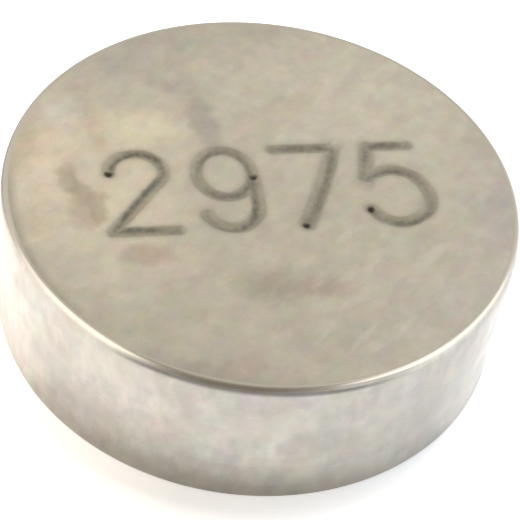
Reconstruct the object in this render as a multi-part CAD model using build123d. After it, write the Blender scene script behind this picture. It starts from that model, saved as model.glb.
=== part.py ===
from build123d import *
import os

# A solid valve shim: a hardened steel disc that sits between the cam follower and the valve stem
# and sets the valve clearance by its thickness.
# Millimetres, +Z up, towards the marked face.
# The origin is the centre of the plain face, which lies on Z = 0.

# Driving dimensions
outside_diameter = 9.48
thickness = 2.975
marked_edge_round = 0.10
plain_edge_round = 0.10

# Derived sizes
rim_radius = outside_diameter / 2


def edge_round(wanted_radius):
    """An edge's rounding, which leaves at least a fifth of the rim straight."""
    return min(wanted_radius, 0.4 * thickness)


def half_section():
    """The half section from the axis to the rim, in the plane through the axis.

    Both faces are ground flat and square to the axis, the rim is ground straight, and each of the
    two edges has a tangent arc of its own.
    """
    plain_round = edge_round(plain_edge_round)
    marked_round = edge_round(marked_edge_round)
    with BuildSketch(Plane.XZ) as section:
        with BuildLine():
            face_below = Line((0, 0), (rim_radius - plain_round, 0))
            edge_below = JernArc(face_below @ 1, face_below % 1, plain_round, 90)
            rim = Line(edge_below @ 1, (rim_radius, thickness - marked_round))
            edge_above = JernArc(rim @ 1, rim % 1, marked_round, 90)
            face_above = Line(edge_above @ 1, (0, thickness))
            Line(face_above @ 1, face_below @ 0)
        make_face()
    return section.sketch


def valve_shim():
    """The disc: its half section turned once about the axis."""
    return revolve(half_section(), axis=Axis.Z)


os.makedirs("parts", exist_ok=True)
shim = valve_shim()
export_step(shim, "parts/valve_shim.step")
print(f"valve_shim: volume {shim.volume:.2f} mm3, {outside_diameter} x {thickness} mm")
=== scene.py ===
import math

import bpy
import numpy as np
from mathutils import Matrix, Vector, geometry, noise


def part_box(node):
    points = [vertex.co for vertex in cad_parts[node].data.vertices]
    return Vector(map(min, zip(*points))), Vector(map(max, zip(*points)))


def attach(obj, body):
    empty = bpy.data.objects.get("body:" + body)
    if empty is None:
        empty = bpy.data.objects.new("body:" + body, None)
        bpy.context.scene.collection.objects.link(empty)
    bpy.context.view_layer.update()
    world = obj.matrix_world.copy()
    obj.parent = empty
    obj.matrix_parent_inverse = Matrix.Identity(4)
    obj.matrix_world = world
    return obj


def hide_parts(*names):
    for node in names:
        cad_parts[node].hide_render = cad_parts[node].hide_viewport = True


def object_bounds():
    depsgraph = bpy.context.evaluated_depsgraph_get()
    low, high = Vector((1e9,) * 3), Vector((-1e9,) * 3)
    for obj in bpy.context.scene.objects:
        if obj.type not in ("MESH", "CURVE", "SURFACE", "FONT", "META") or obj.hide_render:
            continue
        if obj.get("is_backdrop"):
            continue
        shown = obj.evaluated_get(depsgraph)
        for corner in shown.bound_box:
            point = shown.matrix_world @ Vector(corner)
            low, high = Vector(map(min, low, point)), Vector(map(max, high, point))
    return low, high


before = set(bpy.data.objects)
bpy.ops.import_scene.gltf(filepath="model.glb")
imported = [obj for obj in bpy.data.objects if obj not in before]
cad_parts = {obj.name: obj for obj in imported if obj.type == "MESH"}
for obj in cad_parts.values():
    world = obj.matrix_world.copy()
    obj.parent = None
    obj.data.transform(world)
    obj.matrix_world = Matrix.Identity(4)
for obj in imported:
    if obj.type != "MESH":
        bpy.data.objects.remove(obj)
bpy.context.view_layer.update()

# Lengths below are in millimetres, and become metres where a mesh, lamp or camera is made.
MM = 0.001

# The disc, from the frame's node, and the rounding of its lower edge, as in the solid
low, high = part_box("valve_shim")
RIM_RADIUS = high.x / MM
THICKNESS = high.z / MM
EDGE_ROUND = 0.10

# The upper edge blends into the face and the wall: how far it reaches in and down, and how square it is
EDGE_REACH = 0.14
EDGE_DROP = 0.22
EDGE_POWER = 2.6

# How finely the disc's mesh is divided
RIM_SEGMENTS = 720
ROUND_SEGMENTS = 9
EDGE_SEGMENTS = 16
WALL_ROWS = 20
FACE_SPACING = 0.16
PLAIN_FACE_SPACING = 0.6

# Inside the edge each ring has this many times the last one's gap, up to a share of the face's spacing,
# and the grid begins another share of it further in
RING_GROWTH = 1.6
RING_LIMIT = 0.8
GRID_GAP = 0.6

# Shares of the face's spacing: where a belt of finer points beside the grooves begins and ends, and
# where the open grid begins
FINE_BELT = (0.25, 1.2)
OPEN_GRID = 1.7

# The engraved groove, the dulled border beside it, and the small pits. The rows of points along a groove
# and round a pit are in shares of its half width or radius.
GROOVE_HALF_WIDTH = 0.116
GROOVE_DEPTH = 0.048
GROOVE_POWER = 1.25
GROOVE_BORDER = 0.13
BORDER_POWER = 1.5
STATION_SPACING = 0.018
GROOVE_ROWS = (0.0, 0.25, 0.48, 0.68, 0.85, 0.97, 1.06, 1.22, 1.5, 2.0)
PIT_RADIUS = 0.074
PIT_DEPTH = 0.065
PIT_ROWS = (0.0, 0.35, 0.65, 0.88, 1.05, 1.25)
PIT_MARGIN = 0.12

# Shares of the spacing of a stroke's stations: how close two points may lie, how much nearer to its own
# stroke than to an earlier one a row's point lies, and how far apart the points round a pit are
LEAST_GAP = 0.45
OWN_MARGIN = 0.3
PIT_SPACING = 0.8

# How uneven a groove's depth and width are: the share by which each wanders, and over what length
DEPTH_WANDER = (0.18, 0.12)
WIDTH_WANDER = (0.05, 0.15)

# How far across a groove its cut, and its residue with painted shade, are worked out, in shares of its
# half width
GROOVE_REACH = 1.5

# The residue across a groove, with painted shade of its darker wall, in shares of its half width: how
# far it reaches, the stretch over which it sets in, and the width of its dark core; and how much of it
# lies beside that core
RESIDUE_AND_SHADE_REACH = 1.4
RESIDUE_AND_SHADE_FADE = 0.6
RESIDUE_AND_SHADE_CORE = 0.55
RESIDUE_AND_SHADE_LEAST = 0.25

# The residue in a pit, with painted shade in its hollow: how far it reaches, in shares of the pit's
# radius, and how much of it there is
PIT_RESIDUE_AND_SHADE_REACH = 1.45
PIT_RESIDUE_AND_SHADE = 2.0

# How many points are measured against a stroke at a time, which keeps the arrays small
BATCH = 4000


def line(start, end):
    """A straight run of a stroke."""
    count = max(2, round(math.dist(start, end) / STATION_SPACING))
    share = np.linspace(0, 1, count)[:, None]
    return np.array(start) * (1 - share) + np.array(end) * share


def arc(centre, half_axes, first_degrees, last_degrees):
    """A run round an ellipse, from one angle to another."""
    length = abs(math.radians(last_degrees - first_degrees)) * max(half_axes)
    angle = np.radians(np.linspace(first_degrees, last_degrees, round(length / STATION_SPACING)))
    return np.array(centre) + np.array(half_axes) * np.stack([np.cos(angle), np.sin(angle)], -1)


def curve(*points):
    """A smooth run through a few points, as a Catmull-Rom spline."""
    given = np.array(points, float)
    knots = np.vstack([2 * given[0] - given[1], given, 2 * given[-1] - given[-2]])
    spans = []
    for before, start, end, after in zip(knots, knots[1:], knots[2:], knots[3:]):
        count = max(2, round(math.dist(start, end) / STATION_SPACING))
        t = np.linspace(0, 1, count, endpoint=False)[:, None]
        spans.append(
            0.5
            * (
                2 * start
                + (end - before) * t
                + (2 * before - 5 * start + 4 * end - after) * t**2
                + (3 * start - before - 3 * end + after) * t**3
            )
        )
    return np.vstack(spans + [given[-1:]])


def stroke(*runs, shade, width=1.0):
    """One pass of the engraving tool: its path, and keys of (share of the way, darkness, side).

    The darkness is how much residue, with painted shade of the groove's darker wall, lies in the groove
    there. The side is where it lies across the groove, from -1, the wall on the left of the way the tool
    goes, to 1, the wall on its right.
    The width is a share of the usual one.
    """
    path = np.vstack(runs)
    step = np.linalg.norm(np.diff(path, axis=0), axis=1)
    path = path[np.append(True, step > 1e-6)]
    way = np.append(0, np.cumsum(np.linalg.norm(np.diff(path, axis=0), axis=1)))
    stations = np.linspace(0, way[-1], round(way[-1] / STATION_SPACING) + 1)
    path = np.stack([np.interp(stations, way, path[:, k]) for k in (0, 1)], -1)
    share, darkness, side = np.array(shade, float).T
    along = stations / way[-1]
    return {
        "path": path,
        "along": stations,
        "darkness": np.interp(along, share, darkness),
        "side": np.interp(along, share, side),
        "half_width": width * GROOVE_HALF_WIDTH,
    }


# The number, read along +X: the shim's thickness in thousandths of a millimetre.
# Its digits are drawn in single lines, 2 mm tall and centred on the face.
TWO = [
    stroke(
        arc((-2.27, 0.53), (0.50, 0.46), 183, -36),
        line((-1.866, 0.26), (-2.845, -0.955)),
        shade=(
            (0.0, 0.7, 0.4), (0.12, 0.6, 0.3), (0.22, 0.75, -0.2), (0.36, 0.7, -0.4), (0.44, 0.4, -0.1),
            (0.52, 0.5, 0.5), (0.6, 0.85, 0.6), (0.75, 0.75, 0.5), (0.9, 0.65, 0.3), (1.0, 0.3, 0.0),
        ),
    ),
    stroke(
        line((-2.845, -0.965), (-1.67, -0.965)),
        shade=(
            (0.0, 0.2, -0.4), (0.2, 0.65, -0.4), (0.7, 0.6, -0.4), (0.85, 0.3, -0.2), (1.0, 0.3, 0.0),
        ),
    ),
]
NINE = [
    stroke(
        arc((-0.665, 0.41), (0.51, 0.60), -10, 350),
        shade=(
            (0.0, 0.4, -0.3), (0.12, 0.4, 0.0), (0.2, 0.3, 0.2), (0.28, 0.45, 0.0), (0.36, 0.6, -0.2),
            (0.45, 0.35, -0.3), (0.55, 0.1, -0.2), (0.64, 0.2, -0.2), (0.7, 0.6, -0.3),
            (0.77, 0.4, -0.3), (0.85, 0.6, -0.3), (0.93, 0.5, -0.3), (1.0, 0.4, -0.3),
        ),
    ),
    stroke(
        line((-0.15, 0.30), (-0.15, -0.38)),
        arc((-0.655, -0.39), (0.505, 0.57), 0, -157),
        width=1.12,
        shade=(
            (0.0, 0.5, 0.0), (0.2, 0.5, 0.3), (0.4, 0.7, 0.5),
            (0.6, 0.65, 0.1), (0.8, 0.3, -0.2), (1.0, 0.2, 0.0),
        ),
    ),
]
SEVEN = [
    stroke(
        line((0.31, 1.0), (1.46, 1.0)),
        shade=(
            (0.0, 0.25, -0.3), (0.25, 0.55, -0.3), (0.5, 0.65, -0.3),
            (0.65, 0.4, -0.3), (0.85, 0.6, -0.3), (1.0, 0.3, 0.0),
        ),
    ),
    stroke(
        curve((1.46, 1.0), (1.30, 0.50), (1.09, 0.0), (0.86, -0.50), (0.655, -0.94)),
        width=1.3,
        shade=(
            (0.0, 0.4, 0.0), (0.15, 0.45, -0.2), (0.5, 0.45, -0.3),
            (0.8, 0.42, -0.3), (0.9, 0.35, 0.0), (1.0, 0.5, 0.0),
        ),
    ),
]
FIVE = [
    stroke(
        line((2.90, 1.0), (2.10, 1.0)),
        shade=((0.0, 0.25, 0.3), (0.25, 0.6, 0.4), (0.7, 0.8, 0.4), (1.0, 0.4, 0.0)),
    ),
    stroke(
        line((2.11, 1.0), (1.94, 0.14)),
        width=1.25,
        shade=((0.0, 0.4, 0.0), (0.25, 0.5, 0.1), (0.5, 0.3, 0.3), (1.0, 0.35, 0.5)),
    ),
    stroke(
        curve(
            (1.94, 0.14), (2.14, 0.29), (2.48, 0.36), (2.86, 0.18), (3.05, -0.28),
            (2.94, -0.71), (2.52, -0.965), (2.13, -0.89), (1.89, -0.62),
        ),
        width=1.12,
        shade=(
            (0.0, 0.3, 0.0), (0.12, 0.5, 0.0), (0.2, 0.7, 0.0), (0.32, 0.4, -0.2), (0.5, 0.15, 0.0),
            (0.62, 0.45, -0.3), (0.72, 0.65, -0.2), (0.82, 0.6, 0.0), (0.92, 0.25, 0.0),
            (1.0, 0.5, 0.0),
        ),
    ),
]
STROKES = TWO + NINE + SEVEN + FIVE

# The small pits that the tool left where it went in or stopped
PITS = ((-2.77, 0.52), (-0.14, 0.32), (0.64, -0.94), (1.89, -0.61))


def across(path):
    """The unit vectors square to a path, to the left of its way."""
    way = np.gradient(path, axis=0)
    way /= np.linalg.norm(way, axis=1)[:, None]
    return np.stack([-way[:, 1], way[:, 0]], -1)


def nearest(path, points):
    """For each point: its distance from a path, positive on the left, and the nearest station."""
    start = path[:-1]
    run = np.diff(path, axis=0)
    length = np.linalg.norm(run, axis=1)
    way = run / length[:, None]
    distance = np.empty(len(points))
    station = np.empty(len(points))
    for first in range(0, len(points), BATCH):
        some = slice(first, first + BATCH)
        offset = points[some, None, :] - start[None]
        along = np.clip((offset * way[None]).sum(-1), 0, length[None])
        apart = offset - along[..., None] * way[None]
        gap = np.linalg.norm(apart, axis=-1)
        best = gap.argmin(1)
        row = np.arange(len(best))
        turn = way[best, 0] * apart[row, best, 1] - way[best, 1] * apart[row, best, 0]
        distance[some] = gap[row, best] * np.where(turn < 0, -1, 1)
        station[some] = best + along[row, best] / length[best]
    return distance, station


def wander(along, seed, period):
    """A smooth random value between about -1 and 1 for each place along a stroke."""
    return np.array([2 * noise.noise(Vector((place / period, seed * 7.31, 0.5))) for place in along])


def engraving(points):
    """At each point of the face: the depth below it, the residue with painted shade, and the way to the
    nearest groove.
    """
    depth = np.zeros(len(points))
    residue_and_shade = np.zeros(len(points))
    clear = np.full(len(points), 1e3)
    for number, mark in enumerate(STROKES):
        distance, station = nearest(mark["path"], points)
        half_width = mark["half_width"]
        clear = np.minimum(clear, abs(distance) - half_width)
        here = np.flatnonzero(abs(distance) < GROOVE_REACH * half_width)
        places = np.arange(len(mark["path"]))
        along = np.interp(station[here], places, mark["along"])
        share, period = WIDTH_WANDER
        width = half_width * (1 + share * wander(along, number + 20, period))
        place = distance[here] / width
        share, period = DEPTH_WANDER
        dig = GROOVE_DEPTH * (1 + share * wander(along, number, period))
        dig *= np.clip(1 - place**2, 0, None) ** GROOVE_POWER
        # The residue here, with painted shade of the groove's darker wall: a dark core towards the given
        # side
        darkness = np.interp(station[here], places, mark["darkness"])
        side = -np.interp(station[here], places, mark["side"])
        core = np.exp(-(((place - side) / RESIDUE_AND_SHADE_CORE) ** 2))
        residue_and_shade_layer = np.clip(RESIDUE_AND_SHADE_REACH - abs(place), 0, RESIDUE_AND_SHADE_FADE) / RESIDUE_AND_SHADE_FADE
        residue_and_shade_layer *= RESIDUE_AND_SHADE_LEAST + darkness * core
        deeper = dig > depth[here]
        depth[here] = np.where(deeper, dig, depth[here])
        residue_and_shade[here] = np.maximum(residue_and_shade[here], residue_and_shade_layer)
    for pit in PITS:
        place = np.linalg.norm(points - pit, axis=1) / PIT_RADIUS
        depth = np.maximum(depth, PIT_DEPTH * np.clip(1 - place**2, 0, None))
        # Residue in the pit, with painted shade in its hollow
        residue_and_shade = np.maximum(residue_and_shade, PIT_RESIDUE_AND_SHADE * np.clip(PIT_RESIDUE_AND_SHADE_REACH - place, 0, 1))
    return depth, residue_and_shade, clear


def ring(radius, count=RIM_SEGMENTS):
    """Points round a circle."""
    angle = np.arange(count) * 2 * math.pi / count
    return radius * np.stack([np.cos(angle), np.sin(angle)], -1)


def triangle_grid(spacing, radius):
    """Points of a grid of equal triangles inside a circle."""
    rows = int(radius / (spacing * math.sqrt(0.75))) + 1
    columns = int(radius / spacing) + 1
    row, column = np.mgrid[-rows : rows + 1, -columns : columns + 1]
    points = np.stack([(column + 0.5 * (row % 2)) * spacing, row * spacing * math.sqrt(0.75)], -1)
    points = points.reshape(-1, 2)
    return points[np.linalg.norm(points, axis=1) < radius]


def graded_rings(radius, spacing):
    """Rings of points inside the rim, further apart and of fewer points towards the axis."""
    made = []
    gap = 2 * math.pi * radius / RIM_SEGMENTS
    count = RIM_SEGMENTS
    at = radius
    while gap < RING_LIMIT * spacing:
        at -= gap
        made.append(ring(at, count))
        gap *= RING_GROWTH
        count = round(count / RING_GROWTH)
    return np.vstack(made), at - GRID_GAP * spacing


def stroke_rows():
    """Points in rows along both sides of every stroke, each kept clear of the other strokes' rows."""
    kept = []
    for number, mark in enumerate(STROKES):
        path = mark["path"]
        left = across(path)
        half_width = mark["half_width"]
        rows = [path + side * share * half_width * left for share in GROOVE_ROWS for side in (-1, 1)]
        rows = np.vstack([path] + rows[2:])
        for end, inward in ((path[0], path[1] - path[0]), (path[-1], path[-2] - path[-1])):
            back = math.atan2(-inward[1], -inward[0])
            for share in GROOVE_ROWS[1:]:
                count = max(5, round(math.pi * share * half_width / STATION_SPACING))
                angle = back + np.linspace(-math.pi / 2, math.pi / 2, count)[1:-1]
                cap = share * half_width * np.stack([np.cos(angle), np.sin(angle)], -1)
                rows = np.vstack([rows, end + cap])
        reach = abs(nearest(path, rows)[0])
        for other, rival in enumerate(STROKES):
            if other != number:
                gap = abs(nearest(rival["path"], rows)[0])
                ours = gap > reach if other > number else gap > reach + OWN_MARGIN * STATION_SPACING
                rows, reach = rows[ours], reach[ours]
        kept.append(rows)
    points = np.vstack(kept)
    for pit in PITS:
        points = points[np.linalg.norm(points - pit, axis=1) > (PIT_ROWS[-1] + PIT_MARGIN) * PIT_RADIUS]
        for share in PIT_ROWS:
            length = 2 * math.pi * share * PIT_RADIUS
            count = max(1, round(length / (PIT_SPACING * STATION_SPACING)))
            points = np.vstack([points, pit + ring(share * PIT_RADIUS, count)])
    return points


def spaced(points, least):
    """The points without those that lie closer together than the least distance."""
    cells = {}
    kept = []
    for index, point in enumerate(points):
        column, row = int(point[0] // least), int(point[1] // least)
        near = [cells.get((column + i, row + j), ()) for i in (-1, 0, 1) for j in (-1, 0, 1)]
        if all(math.dist(point, other) >= least for some in near for other in some):
            cells.setdefault((column, row), []).append(point)
            kept.append(index)
    return points[kept]


def face_points(engraved):
    """The points of a face: its edge first, then rings, an open grid, and the grooves' rows."""
    radius = RIM_RADIUS - (EDGE_REACH if engraved else EDGE_ROUND)
    spacing = FACE_SPACING if engraved else PLAIN_FACE_SPACING
    rings, inner_radius = graded_rings(radius, spacing)
    grid = triangle_grid(spacing, inner_radius)
    if not engraved:
        return np.vstack([ring(radius), rings, grid])
    rows = spaced(stroke_rows(), LEAST_GAP * STATION_SPACING)
    far = (GROOVE_ROWS[-1] - 1) * GROOVE_HALF_WIDTH
    clear = engraving(grid)[2]
    fine = triangle_grid(0.5 * spacing, inner_radius)
    near = engraving(fine)[2]
    first, last = FINE_BELT
    fine = fine[(near > far + first * spacing) & (near < far + last * spacing)]
    grid = grid[clear > far + OPEN_GRID * spacing]
    return np.vstack([ring(radius), rings, grid, fine, rows])


def triangulated(points):
    """Triangles between the points, each turned the same way round."""
    flat = [Vector(point) for point in points]
    _, _, faces, sources, _, _ = geometry.delaunay_2d_cdt(flat, [], [], 0, 1e-7)
    return [tuple(sources[corner][0] for corner in face) for face in faces]


def section_rings():
    """(radius, height) of each ring between the two faces: the upper edge, the wall, the lower edge."""
    angles = np.linspace(0, math.pi / 2, EDGE_SEGMENTS + 1)[1:]
    inward = EDGE_REACH * (1 - np.sin(angles) ** (2 / EDGE_POWER))
    downward = EDGE_DROP * (1 - np.cos(angles).clip(0) ** (2 / EDGE_POWER))
    upper = [(RIM_RADIUS - reach, THICKNESS - drop) for reach, drop in zip(inward, downward)]
    heights = np.linspace(THICKNESS - EDGE_DROP, EDGE_ROUND, WALL_ROWS + 1)[1:-1]
    wall = [(RIM_RADIUS, height) for height in heights]
    angles = np.linspace(0, math.pi / 2, ROUND_SEGMENTS + 1)[:-1]
    inner = RIM_RADIUS - EDGE_ROUND
    lower = [(inner + EDGE_ROUND * math.cos(a), EDGE_ROUND * (1 - math.sin(a))) for a in angles]
    return upper + wall + lower


def disc_mesh():
    """The whole disc as one closed mesh, with the number cut into its upper face."""
    top = face_points(engraved=True)
    bottom = face_points(engraved=False)
    depth, residue_and_shade, clear = engraving(top)
    rings = section_rings()
    upper = np.column_stack([top, THICKNESS - depth])
    wall = [np.column_stack([ring(radius), np.full(RIM_SEGMENTS, height)]) for radius, height in rings]
    wall = np.vstack(wall)
    lower = np.column_stack([bottom, np.zeros(len(bottom))])
    points = np.vstack([upper, wall, lower])

    first_wall = len(top)
    first_bottom = first_wall + len(wall)
    ring_starts = [0] + [first_wall + k * RIM_SEGMENTS for k in range(len(rings))] + [first_bottom]
    faces = triangulated(top)
    top_faces = len(faces)
    for above, below in zip(ring_starts, ring_starts[1:]):
        for k in range(RIM_SEGMENTS):
            after = (k + 1) % RIM_SEGMENTS
            faces.append((above + k, below + k, below + after, above + after))
    wall_faces = len(faces)
    for face in triangulated(bottom):
        faces.append(tuple(first_bottom + corner for corner in reversed(face)))

    mesh = bpy.data.meshes.new("engraved_shim")
    mesh.from_pydata((points * MM).tolist(), [], faces)
    slots = np.zeros(len(faces), int)
    slots[top_faces:wall_faces] = 1
    slots[wall_faces:] = 2
    mesh.polygons.foreach_set("material_index", slots)
    mesh.shade_smooth()
    residue_and_shade_layer = mesh.attributes.new("residue_and_shade", "FLOAT", "POINT")
    residue_and_shade_layer.data.foreach_set("value", np.append(residue_and_shade, np.zeros(len(points) - len(top))))
    cut = mesh.attributes.new("cut", "FLOAT", "POINT")
    worked = np.clip(1 - clear / GROOVE_BORDER, 0, 1) ** BORDER_POWER
    cut.data.foreach_set("value", np.append(worked, np.zeros(len(points) - len(top))))
    mesh.update()
    mesh.validate()
    return mesh


def way_to(azimuth, elevation):
    """The unit vector at an azimuth, from +X towards +Y, and an elevation, in degrees."""
    azimuth, elevation = math.radians(azimuth), math.radians(elevation)
    level = math.cos(elevation)
    return Vector((math.cos(azimuth) * level, math.sin(azimuth) * level, math.sin(elevation)))


class Nodes:
    """A material's node tree, with short calls for the nodes used here."""

    def __init__(self, name):
        self.material = bpy.data.materials.new(name)
        self.material.use_nodes = True
        self.tree = self.material.node_tree
        self.shader = self.tree.nodes["Principled BSDF"]

    def node(self, kind, inputs=None, **settings):
        made = self.tree.nodes.new(kind)
        for name, value in settings.items():
            setattr(made, name, value)
        for name, value in (inputs or {}).items():
            self.put(value, made.inputs[name])
        return made

    def put(self, value, socket):
        if isinstance(value, bpy.types.NodeSocket):
            self.tree.links.new(value, socket)
        else:
            socket.default_value = value

    def math(self, operation, *values, clamp=False):
        made = self.node("ShaderNodeMath", operation=operation, use_clamp=clamp)
        for value, socket in zip(values, made.inputs):
            self.put(value, socket)
        return made.outputs[0]

    def vector(self, operation, *values):
        made = self.node("ShaderNodeVectorMath", operation=operation)
        for value, socket in zip(values, made.inputs):
            self.put(value, socket)
        return made.outputs["Value" if operation in ("LENGTH", "DISTANCE", "DOT_PRODUCT") else "Vector"]

    def millimetres(self):
        """The place on the object, in millimetres."""
        place = self.node("ShaderNodeTexCoord").outputs["Object"]
        scaled = self.node("ShaderNodeVectorMath", operation="SCALE")
        self.put(place, scaled.inputs[0])
        scaled.inputs["Scale"].default_value = 1 / MM
        return scaled.outputs[0]

    def radius(self, place):
        """The place's distance from the disc's axis."""
        return self.vector("LENGTH", self.vector("MULTIPLY", place, (1, 1, 0)))

    def towards(self, place, azimuth):
        """The cosine of the angle between the place's way out from the axis and an azimuth."""
        way = self.vector("NORMALIZE", self.vector("MULTIPLY", place, (1, 1, 0)))
        return self.vector("DOT_PRODUCT", way, tuple(way_to(azimuth, 0)))

    def split(self, place):
        """The place's three coordinates, by name."""
        return self.node("ShaderNodeSeparateXYZ", {"Vector": place}).outputs

    def mapped(self, place, turn_degrees=0.0, stretch=(1.0, 1.0, 1.0), shift=(0.0, 0.0, 0.0)):
        """The place after a shift, a turn about the axis and then a stretch along each direction."""
        moved = self.vector("SUBTRACT", place, shift)
        turned = self.node("ShaderNodeVectorRotate", rotation_type="Z_AXIS")
        self.put(moved, turned.inputs["Vector"])
        turned.inputs["Angle"].default_value = math.radians(-turn_degrees)
        return self.vector("MULTIPLY", turned.outputs[0], stretch)

    def noise(self, place, scale, detail=2.0, roughness=0.5, colour=False):
        made = self.node("ShaderNodeTexNoise")
        self.put(place, made.inputs["Vector"])
        made.inputs["Scale"].default_value = scale
        made.inputs["Detail"].default_value = detail
        made.inputs["Roughness"].default_value = roughness
        return made.outputs["Color" if colour else "Fac"]

    def ramp(self, value, low, high, to_low=0.0, to_high=1.0, smooth=True):
        made = self.node("ShaderNodeMapRange", interpolation_type="SMOOTHSTEP" if smooth else "LINEAR")
        for socket, given in zip(made.inputs, (value, low, high, to_low, to_high)):
            self.put(given, socket)
        return made.outputs[0]

    def mix(self, share, first, second, blend="MIX"):
        made = self.node("ShaderNodeMix", data_type="RGBA", blend_type=blend)
        self.put(share, made.inputs[0])
        self.put(first, made.inputs[6])
        self.put(second, made.inputs[7])
        return made.outputs[2]

    def warped(self, place, scale, reach):
        """The place, moved about by soft noise, so that what is drawn there has an uneven edge."""
        ripple = self.noise(place, scale, 3.0, 0.45, colour=True)
        ripple = self.vector("SUBTRACT", ripple, (0.5, 0.5, 0.5))
        return self.vector("MULTIPLY_ADD", ripple, (reach,) * 3, place)

    def stained(self, base, place, centre, half_lengths, turn, strength, shown, fade):
        """The colour with an elliptical patch of another in it, which fades towards its edge."""
        stretch = (1 / half_lengths[0], 1 / half_lengths[1], 0.0)
        reach = self.vector("LENGTH", self.mapped(place, turn, stretch, (*centre, 0.0)))
        return self.mix(self.ramp(reach, 1 + fade, 1 - fade, 0.0, strength), base, shown)

    def attribute(self, name):
        return self.node("ShaderNodeAttribute", attribute_name=name).outputs["Fac"]

    def bump(self, height, distance):
        made = self.node("ShaderNodeBump")
        made.inputs["Strength"].default_value = 1.0
        made.inputs["Distance"].default_value = distance * MM
        self.put(height, made.inputs["Height"])
        return made.outputs[0]


def colour(red, green, blue):
    """A shader colour, from the 0 to 255 values that it shows as."""
    channels = [value / 255 for value in (red, green, blue)]
    linear = [c / 12.92 if c <= 0.04045 else ((c + 0.055) / 1.055) ** 2.4 for c in channels]
    return (*linear, 1.0)


# The way the faces were lapped, in degrees from +X
LAPPED = 48

# The broad areas of the marked face, which fade into each other: centre, half lengths, turn, strength
# and colour; and how softly their edges fade
AREA_FADE = 0.9
AREAS = (
    ((-3.30, 0.70), (1.50, 2.30), 0, 0.75, colour(213, 200, 175)),
    ((2.30, 2.30), (2.30, 1.90), -20, 0.60, colour(199, 191, 172)),
    ((-2.20, 3.70), (1.90, 1.00), 35, 0.60, colour(179, 171, 155)),
    ((0.40, 4.40), (1.80, 0.60), 0, 0.55, colour(176, 167, 152)),
    ((-3.00, -3.40), (2.30, 0.60), -45, 0.45, colour(175, 168, 152)),
    ((0.40, -4.00), (3.00, 1.30), 0, 0.60, colour(175, 167, 151)),
    ((4.30, -0.80), (0.80, 2.00), -10, 0.50, colour(178, 172, 163)),
    ((0.60, -1.60), (2.60, 1.30), 10, 0.40, colour(181, 173, 154)),
    ((2.80, -3.00), (1.50, 0.90), 40, 0.45, colour(186, 177, 166)),
)

# The stains on them: centre, half lengths, turn, strength, colour, and how softly the edge fades
GREY_BROWN = colour(172, 158, 136)
MAUVE_GREY = colour(172, 163, 149)
PALE = colour(222, 211, 181)
PINK = colour(209, 190, 175)
STAINS = (
    ((-3.50, 0.42), (0.20, 0.34), 15, 0.85, GREY_BROWN, 0.35),
    ((-3.27, 0.04), (0.20, 0.34), 20, 0.75, GREY_BROWN, 0.45),
    ((-3.32, -0.45), (0.26, 0.40), 5, 0.75, colour(180, 163, 142), 0.45),
    ((-3.05, -0.33), (0.17, 0.36), -5, 0.75, GREY_BROWN, 0.4),
    ((-3.72, 1.12), (0.13, 0.13), 0, 0.5, colour(188, 180, 155), 0.6),
    ((-2.88, 1.55), (0.15, 0.42), 0, 0.5, colour(194, 174, 148), 0.5),
    ((-3.00, 2.30), (0.25, 0.50), 0, 0.35, colour(190, 176, 152), 0.7),
    ((-4.00, 0.90), (0.50, 1.00), -5, 0.5, colour(224, 204, 179), 0.7),
    ((-4.10, -0.90), (0.35, 0.60), 15, 0.35, colour(192, 180, 156), 0.7),
    ((-3.50, 2.15), (0.30, 0.35), 0, 0.5, colour(214, 205, 190), 0.7),
    ((-1.95, 1.72), (0.70, 0.36), -12, 0.6, PALE, 0.7),
    ((-2.30, -0.35), (0.50, 0.70), 20, 0.3, PALE, 0.8),
    ((-0.85, 1.75), (0.27, 0.75), 10, 0.85, MAUVE_GREY, 0.4),
    ((-1.30, 2.85), (0.55, 0.20), -25, 0.5, MAUVE_GREY, 0.7),
    ((-2.10, 3.35), (0.50, 0.28), 10, 0.45, colour(174, 164, 154), 0.7),
    ((-1.90, 3.95), (0.90, 0.30), 30, 0.4, colour(170, 162, 150), 0.7),
    ((-2.30, -1.53), (0.50, 0.25), -10, 0.7, colour(177, 158, 140), 0.5),
    ((-1.90, -1.85), (0.40, 0.20), -15, 0.35, PINK, 0.7),
    ((-0.20, -2.35), (0.58, 0.38), 0, 0.85, colour(163, 154, 136), 0.7),
    ((0.62, -2.45), (0.40, 0.24), 20, 0.65, colour(170, 155, 141), 0.7),
    ((0.78, 2.15), (0.60, 0.28), 25, 0.45, colour(187, 174, 152), 0.6),
    ((1.65, 2.60), (0.15, 0.50), -25, 0.5, PINK, 0.6),
    ((0.10, 1.75), (0.15, 0.50), -5, 0.35, colour(202, 184, 162), 0.6),
    ((-2.45, -3.20), (0.50, 0.35), -30, 0.45, colour(175, 170, 146), 0.6),
    ((-1.00, -4.15), (0.35, 0.20), -10, 0.45, colour(174, 158, 142), 0.6),
    ((4.33, 0.95), (0.15, 0.40), 12, 0.3, colour(172, 160, 148), 0.6),
    ((-1.45, -4.30), (1.30, 0.25), -20, 0.6, colour(158, 148, 136), 0.8),
    ((-4.25, 1.35), (0.30, 0.80), -17, 0.35, colour(168, 153, 131), 0.8),
    ((4.25, -0.80), (0.30, 1.00), -12, 0.35, colour(176, 168, 162), 0.7),
    ((2.10, -1.60), (0.50, 0.22), 40, 0.35, colour(186, 186, 168), 0.7),
)


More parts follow.
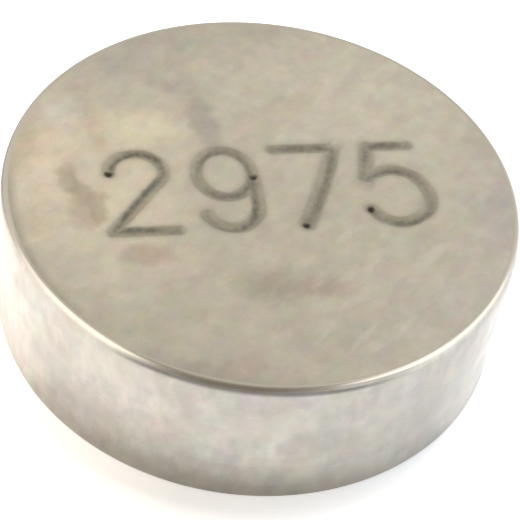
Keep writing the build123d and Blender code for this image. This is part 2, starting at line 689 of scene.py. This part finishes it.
def marked_face_steel():
    """The ground and lapped face: clouds, stains, fine scratches, and residue with painted shade in the
    grooves.
    """
    n = Nodes("marked_face_steel")
    place = n.millimetres()
    base = colour(190, 181, 162)
    broad = n.warped(place, 0.7, 1.1)
    for patch in AREAS:
        base = n.stained(base, broad, *patch, AREA_FADE)
    close = n.warped(place, 2.2, 0.45)
    for patch in STAINS:
        base = n.stained(base, close, *patch)

    # A darker band along the edge on the left
    edge = n.ramp(n.radius(place), RIM_RADIUS - 0.35, RIM_RADIUS - 0.12)
    left_edge_dark = n.math("MULTIPLY", n.ramp(n.towards(place, 196), 0.84, 0.97), edge)
    base = n.mix(n.math("MULTIPLY", left_edge_dark, 0.7), base, colour(157, 148, 129))

    # Clouds, and a play of tints that is hardly seen, both drawn out the way the face was lapped
    lapped = n.mapped(place, LAPPED, (0.85, 1.3, 1.0))
    clouds = n.ramp(n.noise(lapped, 1.8, 7.0, 0.7), 0.3, 0.7, 0.89, 1.04, smooth=False)
    flecks = n.ramp(n.noise(place, 3.3, 3.0, 0.6), 0.3, 0.7, 0.948, 1.052, smooth=False)
    clouds = n.math("MULTIPLY", clouds, flecks)
    tints = n.noise(lapped, 2.6, 3.0, 0.55, colour=True)
    tints = n.vector("MULTIPLY_ADD", tints, (0.24,) * 3, (0.88,) * 3)
    base = n.mix(1.0, n.mix(1.0, base, clouds, blend="MULTIPLY"), tints, blend="MULTIPLY")

    # Pale rub marks across the lower right
    rubs = n.noise(n.mapped(n.warped(place, 1.5, 0.3), 42, (0.9, 3.0, 1.0)), 1.0, 2.0, 0.55)
    rubs = n.ramp(rubs, 0.5, 0.72)
    reach = n.vector("LENGTH", n.mapped(place, 40, (1 / 2.6, 1 / 1.5, 0.0), (1.6, -2.5, 0.0)))
    rubs = n.math("MULTIPLY", rubs, n.ramp(reach, 1.2, 0.6))
    base = n.mix(n.math("MULTIPLY", rubs, 0.26), base, colour(212, 205, 190))

    # The grooves' dull, darker metal, and the residue that lies in them, with painted shade of their
    # darker walls and of the pits
    cut = n.attribute("cut")
    base = n.mix(n.math("MULTIPLY", cut, 0.42), base, colour(148, 144, 131))
    speckle = n.ramp(n.noise(place, 11.0, 3.0), 0.3, 0.7, 0.8, 1.15)
    residue_and_shade = n.math("MULTIPLY", n.attribute("residue_and_shade"), speckle)
    base = n.mix(residue_and_shade, base, colour(115, 112, 101))
    base = n.mix(n.ramp(residue_and_shade, 1.0, 1.8), base, colour(72, 63, 55))
    n.put(base, n.shader.inputs["Base Color"])

    n.shader.inputs["Metallic"].default_value = 1.0
    roughness = n.ramp(n.noise(place, 2.2, 4.0), 0.3, 0.7, 0.27, 0.37, smooth=False)
    dull = n.math("MULTIPLY", n.math("POWER", cut, 3.0), 0.4)
    n.put(n.math("ADD", roughness, dull), n.shader.inputs["Roughness"])
    scratch = n.noise(n.mapped(place, LAPPED, (0.6, 13.0, 1.0)), 1.0, 1.0)
    crossed = n.noise(n.mapped(place, -25, (0.8, 10.0, 1.0)), 1.0, 1.0)
    n.put(n.bump(n.math("ADD", scratch, crossed), 0.0005), n.shader.inputs["Normal"])
    return n.material


# The soft patches on the rim: azimuth in degrees and height, half lengths round the rim and up it,
# strength and colour
DULL = colour(170, 165, 156)
BRIGHT = colour(226, 219, 208)
RIM_PATCHES = (
    ((-56, 1.25), (0.85, 0.50), 0.5, DULL),
    ((-72, 1.35), (0.80, 0.42), 0.35, DULL),
    ((-84, 1.55), (0.55, 0.38), 0.35, DULL),
    ((-97, 2.10), (0.60, 0.30), 0.35, BRIGHT),
    ((-133, 1.15), (0.90, 0.35), 0.4, DULL),
    ((-131, 2.35), (0.60, 0.40), 0.4, BRIGHT),
    ((-147, 1.55), (0.80, 0.45), 0.35, DULL),
    ((-72, 0.30), (0.70, 0.25), 0.4, BRIGHT),
    ((-87, 0.50), (0.50, 0.25), 0.4, BRIGHT),
    ((-118, 0.35), (0.45, 0.25), 0.35, BRIGHT),
    ((-45, 1.55), (0.60, 0.80), 0.4, DULL),
    ((-61, 2.20), (0.45, 0.70), 0.25, DULL),
)


def rim_steel():
    """The ground rim and rounded edges: fine rings round the disc, soft patches, and painted shade on
    its foot.
    """
    n = Nodes("rim_steel")
    place = n.millimetres()
    broad = n.noise(n.mapped(place, 0, (0.9, 0.9, 1.2)), 1.0, 3.0)
    broad = n.ramp(broad, 0.3, 0.7, 0.95, 1.05, smooth=False)
    upright = n.mapped(place, 0, (1.3, 1.3, 0.7))
    blotches = n.ramp(n.noise(upright, 2.0, 5.0, 0.6), 0.3, 0.7, 0.91, 1.09, smooth=False)
    tints = n.noise(n.mapped(place, 70, (1.2, 1.2, 0.9)), 1.7, 3.0, 0.55, colour=True)
    tints = n.vector("MULTIPLY_ADD", tints, (0.22,) * 3, (0.89,) * 3)
    flecks = n.noise(n.mapped(place, 25, (1.0, 1.0, 0.8)), 3.4, 3.0, 0.55)
    flecks = n.ramp(flecks, 0.3, 0.7, 0.925, 1.075, smooth=False)
    blotches = n.math("MULTIPLY", blotches, flecks)
    base = n.mix(1.0, colour(205, 200, 192), n.math("MULTIPLY", broad, blotches), blend="MULTIPLY")
    base = n.mix(1.0, base, tints, blend="MULTIPLY")

    uneven = n.split(n.warped(place, 1.3, 0.9))
    azimuth = n.math("ARCTAN2", uneven["Y"], uneven["X"])
    for (at, up), (half_round, half_up), strength, shown in RIM_PATCHES:
        turn = RIM_RADIUS / half_round
        sideways = n.math("MULTIPLY_ADD", azimuth, turn, -math.radians(at) * turn)
        upwards = n.math("MULTIPLY_ADD", uneven["Z"], 1 / half_up, -up / half_up)
        offset = n.node("ShaderNodeCombineXYZ", {"X": sideways, "Y": upwards}).outputs[0]
        base = n.mix(n.ramp(n.vector("LENGTH", offset), 1.8, 0.2, 0.0, strength), base, shown)

    # Painted shade on the foot of the wall, standing in for the floor's contact shadow that it mirrors:
    # a ragged upper edge, darkest in front
    front = n.ramp(n.towards(place, -107.5), 0.703, 0.954, 0.06, 0.26)
    height = n.split(n.warped(upright, 2.3, 0.8))["Z"]
    painted_foot_shade = n.math("MULTIPLY", n.ramp(height, 0.62, 0.06), front)
    base = n.mix(painted_foot_shade, base, colour(138, 130, 112))

    # Towards the marked face the rounded edge takes on the face's tint and finish, with its light area
    # on the left, and a little of the darker band further out
    outward = n.ramp(n.radius(place), RIM_RADIUS - EDGE_REACH, RIM_RADIUS - 0.4 * EDGE_REACH)
    light = n.ramp(n.towards(place, 167), 0.84, 0.97)
    left_edge_dark_share = n.ramp(n.towards(place, 200), 0.983, 0.998)
    inner_tint = n.mix(light, colour(177, 169, 153), colour(193, 181, 161))
    outer_tint = n.mix(left_edge_dark_share, colour(190, 183, 170), colour(172, 166, 155))
    near_face = n.ramp(n.split(place)["Z"], THICKNESS - 0.08, THICKNESS - 0.01)
    base = n.mix(near_face, base, n.mix(outward, inner_tint, outer_tint))
    n.put(base, n.shader.inputs["Base Color"])
    n.shader.inputs["Metallic"].default_value = 1.0
    rings = n.noise(n.mapped(place, 0, (0.5, 0.5, 40.0)), 1.0, 3.0)
    satin = n.math("MULTIPLY", n.math("SUBTRACT", 1.0, outward), n.math("MULTIPLY", near_face, 0.08))
    roughness = n.ramp(rings, 0.3, 0.7, 0.2, 0.28, smooth=False)
    n.put(n.math("ADD", roughness, satin), n.shader.inputs["Roughness"])
    n.put(n.bump(rings, 0.0012), n.shader.inputs["Normal"])
    return n.material


def plain_face_steel():
    """The unmarked face underneath, lapped as the other is."""
    n = Nodes("plain_face_steel")
    place = n.millimetres()
    clouds = n.ramp(n.noise(place, 1.1, 5.0, 0.6), 0.3, 0.7, 0.93, 1.07, smooth=False)
    n.put(n.mix(1.0, colour(188, 179, 160), clouds, blend="MULTIPLY"), n.shader.inputs["Base Color"])
    n.shader.inputs["Metallic"].default_value = 1.0
    n.put(n.ramp(n.noise(place, 2.2, 4.0), 0.3, 0.7, 0.27, 0.37), n.shader.inputs["Roughness"])
    scratch = n.noise(n.mapped(place, LAPPED, (0.6, 13.0, 1.0)), 1.0, 1.0)
    n.put(n.bump(scratch, 0.0005), n.shader.inputs["Normal"])
    return n.material


def show(name, data):
    """Puts data in the scene as an object."""
    made = bpy.data.objects.new(name, data)
    bpy.context.scene.collection.objects.link(made)
    return made


# The light on the left is warmer than that on the right
WARM = (1.0, 0.93, 0.84)
COOL = (0.93, 0.96, 1.0)

# What the metal mirrors of the floor, near the disc and far from it: the glow all round, and where
# there is more of it, as azimuth, the cosines of the angle from it between which the glow grows, and
# its strength near and far
FLOOR_GLOW = (0.31, 0.13)
FLOOR_GLOWS = (
    (170, 0.2, 1.0, 0.35, 0.0),
    (10, 0.8, 1.0, 0.2, 0.0),
    (185, 0.77, 0.91, 0.0, 1.0),
    (0, 0.42, 0.74, 0.0, 0.9),
    (90, 0.0, 1.0, 0.1, 0.4),
)

# The same for the narrow band of floor round the disc's foot: azimuth, cosines, strength; and how far
# from the axis that band is full and where it ends
FOOT_GLOWS = (
    (-20, 0.84, 0.96, 0.22),
    (182, 0.9, 0.97, 0.34),
)
FOOT_FULL = 5.1
FOOT_END = 6.0

# What the plain face mirrors of the floor beneath it: the glow at the axis, and its growth with X and Y
UNDER_GLOW = 0.85
UNDER_SLOPE = (-0.03, -0.015, 0)

# How far from the disc's axis the near floor ends and the far floor begins
FLOOR_NEAR = 7.4
FLOOR_FAR = 10.5

# The camera, where the photograph's was: its angles in degrees, its distance from the origin, how far
# it is moved aside and up in its own frame, and its lens
CAMERA_AZIMUTH = -106.0
CAMERA_ELEVATION = 46.39
CAMERA_ROLL = 9.335
CAMERA_DISTANCE = 36.556
CAMERA_ASIDE = 0.2693
CAMERA_ABOVE = 0.7241
CAMERA_LENS = 131.24


def make_camera():
    """The photograph's view: from above the front left, tilted a little, through a long lens."""
    back = way_to(CAMERA_AZIMUTH, CAMERA_ELEVATION)
    level = way_to(CAMERA_AZIMUTH + 90, 0)
    turn = Matrix.Rotation(math.radians(CAMERA_ROLL), 3, back)
    aside = turn @ level
    above = turn @ back.cross(level)
    camera = show("camera", bpy.data.cameras.new("camera"))
    place = back * CAMERA_DISTANCE + aside * CAMERA_ASIDE + above * CAMERA_ABOVE
    turned = Matrix((aside, above, back)).transposed().to_4x4()
    camera.matrix_world = Matrix.Translation(place * MM) @ turned
    camera.data.lens = CAMERA_LENS
    camera.data.clip_start = 1 * MM
    camera.data.clip_end = 2000 * MM
    bpy.context.scene.camera = camera


def background_rays(tree):
    """1 for rays that should see the white background: the camera's, and mirrored or refracted ones."""
    path = tree.nodes.new("ShaderNodeLightPath")
    seen = path.outputs["Is Camera Ray"]
    for name in ("Is Glossy Ray", "Is Transmission Ray"):
        either = tree.nodes.new("ShaderNodeMath")
        either.operation = "MAXIMUM"
        tree.links.new(seen, either.inputs[0])
        tree.links.new(path.outputs[name], either.inputs[1])
        seen = either.outputs[0]
    return seen


def make_world(ambient):
    """White where it is seen, and a weaker even light on what is lit."""
    world = bpy.data.worlds.new("studio")
    world.use_nodes = True
    tree = world.node_tree
    background = tree.nodes["Background"]
    background.inputs["Color"].default_value = (1, 1, 1, 1)
    strength = tree.nodes.new("ShaderNodeMapRange")
    tree.links.new(background_rays(tree), strength.inputs["Value"])
    strength.inputs["To Min"].default_value = ambient
    strength.inputs["To Max"].default_value = 1.0
    tree.links.new(strength.outputs[0], background.inputs["Strength"])
    bpy.context.scene.world = world


def make_floor(seen_near, seen_far):
    """A white floor, lit by its lamp and partly by itself, so that it shows white and keeps shadows.

    The metal mirrors it as a small bright table in a darker room: brighter near the disc, and dimmer
    further away, above all in front. Its light is warmer on the left than on the right. The two seen
    strengths are for the camera's rays alone, which leaves the shadow faint and the far floor white.
    """
    size = 1200 * MM
    mesh = bpy.data.meshes.new("floor")
    corners = [(-size, -size, 0), (size, -size, 0), (size, size, 0), (-size, size, 0)]
    mesh.from_pydata(corners, [], [(0, 1, 2, 3)])
    floor = show("floor", mesh)
    floor.location.z = -0.002 * MM
    n = Nodes("floor_white")
    place = n.millimetres()
    radius = n.radius(place)
    farness = n.ramp(radius, FLOOR_NEAR, FLOOR_FAR)
    near, far = FLOOR_GLOW
    for azimuth, low, high, more_near, more_far in FLOOR_GLOWS:
        share = n.ramp(n.towards(place, azimuth), low, high, smooth=False)
        near = n.math("MULTIPLY_ADD", share, more_near, near)
        far = n.math("MULTIPLY_ADD", share, more_far, far)
    foot = n.ramp(radius, FOOT_END, FOOT_FULL)
    for azimuth, low, high, more in FOOT_GLOWS:
        share = n.math("MULTIPLY", foot, n.ramp(n.towards(place, azimuth), low, high))
        near = n.math("MULTIPLY_ADD", share, more, near)
    under = n.math("ADD", n.vector("DOT_PRODUCT", place, UNDER_SLOPE), UNDER_GLOW)
    near = n.ramp(radius, RIM_RADIUS - 0.3, RIM_RADIUS - 0.1, under, near)
    n.put(n.mix(farness, (0.8, 0.8, 0.8, 1), (0.3, 0.3, 0.3, 1)), n.shader.inputs["Base Color"])
    n.shader.inputs["Roughness"].default_value = 0.9
    n.shader.inputs["Specular IOR Level"].default_value = 0.0
    rightness = n.math("DIVIDE", n.split(place)["X"], n.math("MAXIMUM", radius, RIM_RADIUS))
    rightness = n.ramp(rightness, -0.8, 0.8)
    n.put(n.mix(rightness, (*WARM, 1), (*COOL, 1)), n.shader.inputs["Emission Color"])
    glow = n.math("MULTIPLY", background_rays(n.tree), n.ramp(farness, 0, 1, near, far, smooth=False))
    seen = n.ramp(farness, 0, 1, seen_near, seen_far, smooth=False)
    seen = n.math("MULTIPLY", n.node("ShaderNodeLightPath").outputs["Is Camera Ray"], seen)
    n.put(n.math("ADD", glow, seen), n.shader.inputs["Emission Strength"])
    clear = n.node("ShaderNodeBsdfTransparent")
    sides = n.node("ShaderNodeMixShader")
    n.put(n.node("ShaderNodeNewGeometry").outputs["Backfacing"], sides.inputs[0])
    n.put(n.shader.outputs[0], sides.inputs[1])
    n.put(clear.outputs[0], sides.inputs[2])
    n.put(sides.outputs[0], n.tree.nodes["Material Output"].inputs["Surface"])
    mesh.materials.append(n.material)
    floor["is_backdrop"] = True


def softbox(name, azimuth, elevation, distance, size, radiance, tint=(1, 1, 1), for_metal=True):
    """An area lamp that faces the disc, hidden from the camera: either the metal's or the floor's."""
    away = way_to(azimuth, elevation)
    data = bpy.data.lights.new(name, "AREA")
    data.shape = "RECTANGLE"
    data.size, data.size_y = size[0] * MM, size[1] * MM
    data.energy = radiance * math.pi * data.size * data.size_y
    data.color = tint
    lamp = show(name, data)
    lamp.location = away * distance * MM
    lamp.rotation_euler = away.to_track_quat("Z", "Y").to_euler()
    lamp.visible_camera = False
    lamp.visible_glossy = for_metal
    lamp.visible_diffuse = not for_metal


# The shades of the cards, from their end in front of the camera, low down, to their end over the disc
DARK_SHADES = (
    (0.0, (0.36, 0.33, 0.29)),
    (0.2, (0.29, 0.26, 0.225)),
    (0.55, (0.28, 0.25, 0.215)),
    (0.8, (0.5, 0.48, 0.45)),
    (1.0, (0.75, 0.73, 0.7)),
)
GREY_SHADES = (
    (0.0, (0.46, 0.44, 0.41)),
    (0.7, (0.46, 0.44, 0.41)),
    (1.0, (0.85, 0.84, 0.82)),
)

# How many pairs of points a card has along it
CARD_ROWS = 24


def bent_card(name, azimuth, elevations, distance, widths, shades):
    """A card bent over the camera and the disc, which the rounded edge mirrors as the room did."""
    elevations = np.linspace(*elevations, CARD_ROWS)
    points = []
    for elevation, width in zip(elevations, np.linspace(*widths, CARD_ROWS)):
        for side in (-width / 2, width / 2):
            points.append((way_to(0, elevation) * distance + Vector((0, side, 0))) * MM)
    faces = [(2 * k, 2 * k + 1, 2 * k + 3, 2 * k + 2) for k in range(CARD_ROWS - 1)]
    mesh = bpy.data.meshes.new(name)
    mesh.from_pydata(points, [], faces)
    along = mesh.attributes.new("along", "FLOAT", "POINT")
    along.data.foreach_set("value", np.repeat(np.linspace(0, 1, CARD_ROWS), 2))
    card = show(name, mesh)
    card.rotation_euler.z = math.radians(azimuth)
    card.visible_camera = False
    card.visible_diffuse = False
    card.visible_shadow = False
    n = Nodes(name)
    shading = n.node("ShaderNodeValToRGB", {"Fac": n.attribute("along")})
    steps = shading.color_ramp.elements
    while len(steps) < len(shades):
        steps.new(0.5)
    for step, (position, shade) in zip(steps, shades):
        step.position = position
        step.color = (*shade, 1)
    glow = n.node("ShaderNodeEmission", {"Color": shading.outputs["Color"]})
    n.put(glow.outputs[0], n.tree.nodes["Material Output"].inputs["Surface"])
    mesh.materials.append(n.material)
    card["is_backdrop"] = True


bpy.context.scene.view_settings.view_transform = "Standard"
make_camera()

shim = show("engraved_shim", disc_mesh())
for finish in (marked_face_steel(), rim_steel(), plain_face_steel()):
    shim.data.materials.append(finish)
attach(shim, "root")
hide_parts("valve_shim")

make_world(ambient=0.2)
make_floor(seen_near=0.34, seen_far=1.0)
for side, at, low_at, width, tint in (("left", 181, 184, 86, WARM), ("right", -9, -9, 76, COOL)):
    softbox(side + "_softbox", at, 53, distance=80, size=(width, 86), radiance=1.5, tint=tint)
    softbox(side + "_low_softbox", low_at, 12, distance=80, size=(width, 36), radiance=0.8, tint=tint)
softbox("floor_lamp", 58, 79, distance=100, size=(28, 28), radiance=30.4, for_metal=False)
bent_card("dark_card", -104.9, (-2, 112), distance=70, widths=(45, 41), shades=DARK_SHADES)
bent_card("grey_card", -103, (-2, 100), distance=76, widths=(108, 60), shades=GREY_SHADES)

low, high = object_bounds()
